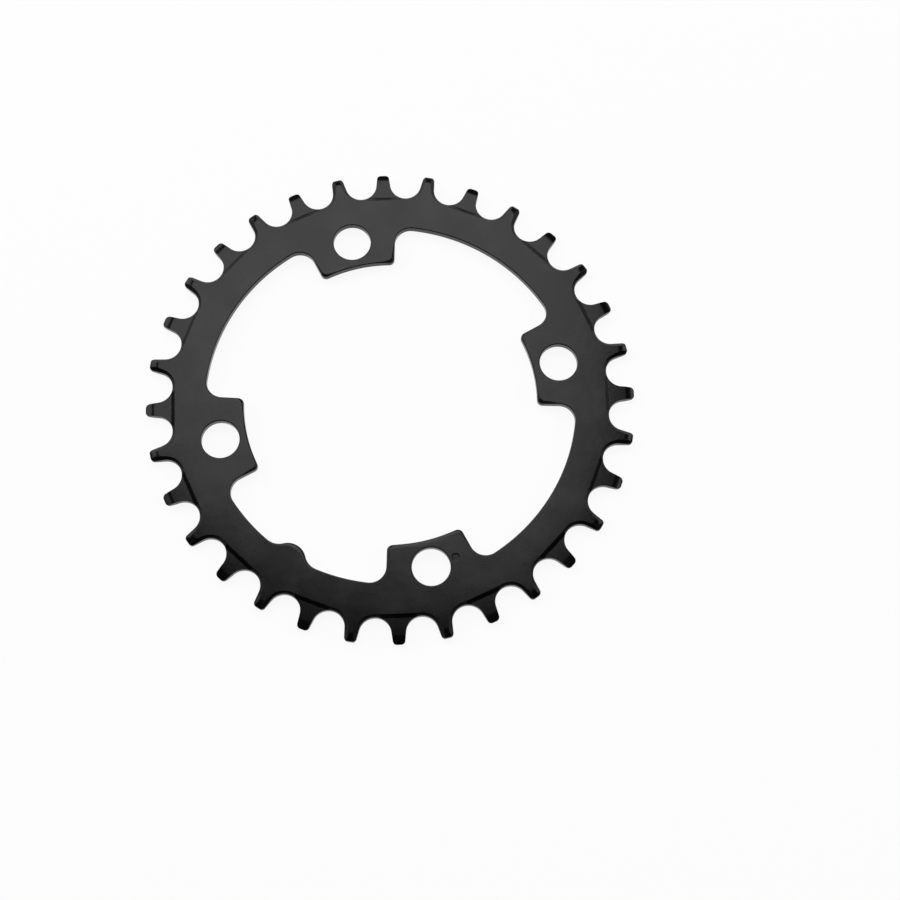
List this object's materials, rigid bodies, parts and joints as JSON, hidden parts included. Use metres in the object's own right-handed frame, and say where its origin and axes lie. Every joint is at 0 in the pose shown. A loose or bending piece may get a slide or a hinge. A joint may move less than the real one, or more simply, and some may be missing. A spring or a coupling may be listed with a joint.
{
  "type": "bicycle chainring",
  "caption": "Narrow-wide bicycle chainring: a flat ring whose teeth are wide and narrow in turn, with bolt tabs and an alignment lug in its open middle. Carries the chain on a crank.",
  "frame": {"origin": "on the ring's axis, in the plane of the back of the tooth band, which the ring lies on", "axes": "+Z along the axis, out of the front face; +X through one bolt hole and the middle of one wide tooth"},
  "size_m": [0.1354, 0.1354, 0.0036],
  "materials": {
    "anodised_black": "satin black anodised"
  },
  "bodies": {
    "root": {"chainring": "anodised_black"}
  },
  "joints": []
}
